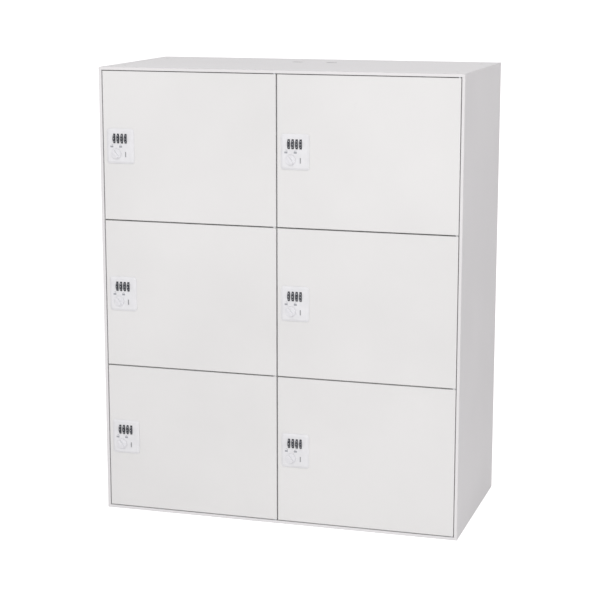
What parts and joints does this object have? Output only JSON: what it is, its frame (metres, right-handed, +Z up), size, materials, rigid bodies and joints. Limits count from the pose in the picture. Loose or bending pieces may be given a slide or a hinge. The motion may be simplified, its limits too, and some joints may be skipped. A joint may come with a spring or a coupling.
{
  "type": "personal locker",
  "caption": "Free-standing steel personal locker: side-by-side columns of flush right-hinged doors, each closed by a dial combination lock with a turning knob.",
  "frame": {"origin": "middle of the base's underside, on the floor", "axes": "+Z up, the doors face -Y, +X to the right of someone who faces the doors"},
  "size_m": [0.9, 0.4654, 1.11],
  "materials": {
    "painted_steel": "fine-textured off-white powder coat",
    "painted_door": "smooth satin off-white powder coat",
    "zinc_plated_steel": "bright zinc plate",
    "lock_white": "cool white moulded plastic, satin",
    "knob_white": "cool white moulded plastic, slight gloss",
    "dial_black": "near-black moulded plastic with white numbers"
  },
  "bodies": {
    "carcass": {"side_panel_left": "painted_steel", "side_panel_right": "painted_steel", "top_panel": "painted_steel", "base_panel": "painted_steel", "back_panel": "painted_steel", "centre_partition": "painted_steel", "shelf_left_lower": "painted_steel", "shelf_left_upper": "painted_steel", "shelf_right_lower": "painted_steel", "shelf_right_upper": "painted_steel", "pivot_pins": "zinc_plated_steel", "pivot_lugs": "painted_steel"},
    "door_left_bottom": {"door_left_bottom": "painted_door", "lock_case_left_bottom": "lock_white"},
    "knob_left_bottom": {"knob_left_bottom": "knob_white", "cam_left_bottom": "zinc_plated_steel"},
    "dial_left_bottom_1": {"dial_left_bottom_1": "dial_black"},
    "dial_left_bottom_2": {"dial_left_bottom_2": "dial_black"},
    "dial_left_bottom_3": {"dial_left_bottom_3": "dial_black"},
    "dial_left_bottom_4": {"dial_left_bottom_4": "dial_black"},
    "door_left_middle": {"door_left_middle": "painted_door", "lock_case_left_middle": "lock_white"},
    "knob_left_middle": {"knob_left_middle": "knob_white", "cam_left_middle": "zinc_plated_steel"},
    "dial_left_middle_1": {"dial_left_middle_1": "dial_black"},
    "dial_left_middle_2": {"dial_left_middle_2": "dial_black"},
    "dial_left_middle_3": {"dial_left_middle_3": "dial_black"},
    "dial_left_middle_4": {"dial_left_middle_4": "dial_black"},
    "door_left_top": {"door_left_top": "painted_door", "lock_case_left_top": "lock_white"},
    "knob_left_top": {"knob_left_top": "knob_white", "cam_left_top": "zinc_plated_steel"},
    "dial_left_top_1": {"dial_left_top_1": "dial_black"},
    "dial_left_top_2": {"dial_left_top_2": "dial_black"},
    "dial_left_top_3": {"dial_left_top_3": "dial_black"},
    "dial_left_top_4": {"dial_left_top_4": "dial_black"},
    "door_right_bottom": {"door_right_bottom": "painted_door", "lock_case_right_bottom": "lock_white"},
    "knob_right_bottom": {"knob_right_bottom": "knob_white", "cam_right_bottom": "zinc_plated_steel"},
    "dial_right_bottom_1": {"dial_right_bottom_1": "dial_black"},
    "dial_right_bottom_2": {"dial_right_bottom_2": "dial_black"},
    "dial_right_bottom_3": {"dial_right_bottom_3": "dial_black"},
    "dial_right_bottom_4": {"dial_right_bottom_4": "dial_black"},
    "door_right_middle": {"door_right_middle": "painted_door", "lock_case_right_middle": "lock_white"},
    "knob_right_middle": {"knob_right_middle": "knob_white", "cam_right_middle": "zinc_plated_steel"},
    "dial_right_middle_1": {"dial_right_middle_1": "dial_black"},
    "dial_right_middle_2": {"dial_right_middle_2": "dial_black"},
    "dial_right_middle_3": {"dial_right_middle_3": "dial_black"},
    "dial_right_middle_4": {"dial_right_middle_4": "dial_black"},
    "door_right_top": {"door_right_top": "painted_door", "lock_case_right_top": "lock_white"},
    "knob_right_top": {"knob_right_top": "knob_white", "cam_right_top": "zinc_plated_steel"},
    "dial_right_top_1": {"dial_right_top_1": "dial_black"},
    "dial_right_top_2": {"dial_right_top_2": "dial_black"},
    "dial_right_top_3": {"dial_right_top_3": "dial_black"},
    "dial_right_top_4": {"dial_right_top_4": "dial_black"}
  },
  "joints": [
    {"name": "door_left_bottom_hinge", "type": "hinge", "parent": "carcass", "child": "door_left_bottom", "pos_m": [-0.006, -0.2205, 0.19], "axis": [0, 0, 1], "range_deg": [0, 95]},
    {"name": "knob_left_bottom_turn", "type": "hinge", "parent": "door_left_bottom", "child": "knob_left_bottom", "pos_m": [-0.406, -0.225, 0.1715], "axis": [0, 1, 0], "range_deg": [0, 70]},
    {"name": "dial_left_bottom_1_turn", "type": "hinge", "parent": "door_left_bottom", "child": "dial_left_bottom_1", "pos_m": [-0.4107, -0.223, 0.2085], "axis": [1, 0, 0], "continuous": true},
    {"name": "dial_left_bottom_2_turn", "type": "hinge", "parent": "door_left_bottom", "child": "dial_left_bottom_2", "pos_m": [-0.4009, -0.223, 0.2085], "axis": [1, 0, 0], "continuous": true},
    {"name": "dial_left_bottom_3_turn", "type": "hinge", "parent": "door_left_bottom", "child": "dial_left_bottom_3", "pos_m": [-0.3911, -0.223, 0.2085], "axis": [1, 0, 0], "continuous": true},
    {"name": "dial_left_bottom_4_turn", "type": "hinge", "parent": "door_left_bottom", "child": "dial_left_bottom_4", "pos_m": [-0.3813, -0.223, 0.2085], "axis": [1, 0, 0], "continuous": true},
    {"name": "door_left_middle_hinge", "type": "hinge", "parent": "carcass", "child": "door_left_middle", "pos_m": [-0.006, -0.2205, 0.555], "axis": [0, 0, 1], "range_deg": [0, 95]},
    {"name": "knob_left_middle_turn", "type": "hinge", "parent": "door_left_middle", "child": "knob_left_middle", "pos_m": [-0.406, -0.225, 0.5365], "axis": [0, 1, 0], "range_deg": [0, 70]},
    {"name": "dial_left_middle_1_turn", "type": "hinge", "parent": "door_left_middle", "child": "dial_left_middle_1", "pos_m": [-0.4107, -0.223, 0.5735], "axis": [1, 0, 0], "continuous": true},
    {"name": "dial_left_middle_2_turn", "type": "hinge", "parent": "door_left_middle", "child": "dial_left_middle_2", "pos_m": [-0.4009, -0.223, 0.5735], "axis": [1, 0, 0], "continuous": true},
    {"name": "dial_left_middle_3_turn", "type": "hinge", "parent": "door_left_middle", "child": "dial_left_middle_3", "pos_m": [-0.3911, -0.223, 0.5735], "axis": [1, 0, 0], "continuous": true},
    {"name": "dial_left_middle_4_turn", "type": "hinge", "parent": "door_left_middle", "child": "dial_left_middle_4", "pos_m": [-0.3813, -0.223, 0.5735], "axis": [1, 0, 0], "continuous": true},
    {"name": "door_left_top_hinge", "type": "hinge", "parent": "carcass", "child": "door_left_top", "pos_m": [-0.006, -0.2205, 0.92], "axis": [0, 0, 1], "range_deg": [0, 95]},
    {"name": "knob_left_top_turn", "type": "hinge", "parent": "door_left_top", "child": "knob_left_top", "pos_m": [-0.406, -0.225, 0.9015], "axis": [0, 1, 0], "range_deg": [0, 70]},
    {"name": "dial_left_top_1_turn", "type": "hinge", "parent": "door_left_top", "child": "dial_left_top_1", "pos_m": [-0.4107, -0.223, 0.9385], "axis": [1, 0, 0], "continuous": true},
    {"name": "dial_left_top_2_turn", "type": "hinge", "parent": "door_left_top", "child": "dial_left_top_2", "pos_m": [-0.4009, -0.223, 0.9385], "axis": [1, 0, 0], "continuous": true},
    {"name": "dial_left_top_3_turn", "type": "hinge", "parent": "door_left_top", "child": "dial_left_top_3", "pos_m": [-0.3911, -0.223, 0.9385], "axis": [1, 0, 0], "continuous": true},
    {"name": "dial_left_top_4_turn", "type": "hinge", "parent": "door_left_top", "child": "dial_left_top_4", "pos_m": [-0.3813, -0.223, 0.9385], "axis": [1, 0, 0], "continuous": true},
    {"name": "door_right_bottom_hinge", "type": "hinge", "parent": "carcass", "child": "door_right_bottom", "pos_m": [0.4365, -0.2205, 0.19], "axis": [0, 0, 1], "range_deg": [0, 95]},
    {"name": "knob_right_bottom_turn", "type": "hinge", "parent": "door_right_bottom", "child": "knob_right_bottom", "pos_m": [0.0365, -0.225, 0.1715], "axis": [0, 1, 0], "range_deg": [0, 70]},
    {"name": "dial_right_bottom_1_turn", "type": "hinge", "parent": "door_right_bottom", "child": "dial_right_bottom_1", "pos_m": [0.0318, -0.223, 0.2085], "axis": [1, 0, 0], "continuous": true},
    {"name": "dial_right_bottom_2_turn", "type": "hinge", "parent": "door_right_bottom", "child": "dial_right_bottom_2", "pos_m": [0.0416, -0.223, 0.2085], "axis": [1, 0, 0], "continuous": true},
    {"name": "dial_right_bottom_3_turn", "type": "hinge", "parent": "door_right_bottom", "child": "dial_right_bottom_3", "pos_m": [0.0514, -0.223, 0.2085], "axis": [1, 0, 0], "continuous": true},
    {"name": "dial_right_bottom_4_turn", "type": "hinge", "parent": "door_right_bottom", "child": "dial_right_bottom_4", "pos_m": [0.0612, -0.223, 0.2085], "axis": [1, 0, 0], "continuous": true},
    {"name": "door_right_middle_hinge", "type": "hinge", "parent": "carcass", "child": "door_right_middle", "pos_m": [0.4365, -0.2205, 0.555], "axis": [0, 0, 1], "range_deg": [0, 95]},
    {"name": "knob_right_middle_turn", "type": "hinge", "parent": "door_right_middle", "child": "knob_right_middle", "pos_m": [0.0365, -0.225, 0.5365], "axis": [0, 1, 0], "range_deg": [0, 70]},
    {"name": "dial_right_middle_1_turn", "type": "hinge", "parent": "door_right_middle", "child": "dial_right_middle_1", "pos_m": [0.0318, -0.223, 0.5735], "axis": [1, 0, 0], "continuous": true},
    {"name": "dial_right_middle_2_turn", "type": "hinge", "parent": "door_right_middle", "child": "dial_right_middle_2", "pos_m": [0.0416, -0.223, 0.5735], "axis": [1, 0, 0], "continuous": true},
    {"name": "dial_right_middle_3_turn", "type": "hinge", "parent": "door_right_middle", "child": "dial_right_middle_3", "pos_m": [0.0514, -0.223, 0.5735], "axis": [1, 0, 0], "continuous": true},
    {"name": "dial_right_middle_4_turn", "type": "hinge", "parent": "door_right_middle", "child": "dial_right_middle_4", "pos_m": [0.0612, -0.223, 0.5735], "axis": [1, 0, 0], "continuous": true},
    {"name": "door_right_top_hinge", "type": "hinge", "parent": "carcass", "child": "door_right_top", "pos_m": [0.4365, -0.2205, 0.92], "axis": [0, 0, 1], "range_deg": [0, 95]},
    {"name": "knob_right_top_turn", "type": "hinge", "parent": "door_right_top", "child": "knob_right_top", "pos_m": [0.0365, -0.225, 0.9015], "axis": [0, 1, 0], "range_deg": [0, 70]},
    {"name": "dial_right_top_1_turn", "type": "hinge", "parent": "door_right_top", "child": "dial_right_top_1", "pos_m": [0.0318, -0.223, 0.9385], "axis": [1, 0, 0], "continuous": true},
    {"name": "dial_right_top_2_turn", "type": "hinge", "parent": "door_right_top", "child": "dial_right_top_2", "pos_m": [0.0416, -0.223, 0.9385], "axis": [1, 0, 0], "continuous": true},
    {"name": "dial_right_top_3_turn", "type": "hinge", "parent": "door_right_top", "child": "dial_right_top_3", "pos_m": [0.0514, -0.223, 0.9385], "axis": [1, 0, 0], "continuous": true},
    {"name": "dial_right_top_4_turn", "type": "hinge", "parent": "door_right_top", "child": "dial_right_top_4", "pos_m": [0.0612, -0.223, 0.9385], "axis": [1, 0, 0], "continuous": true}
  ]
}
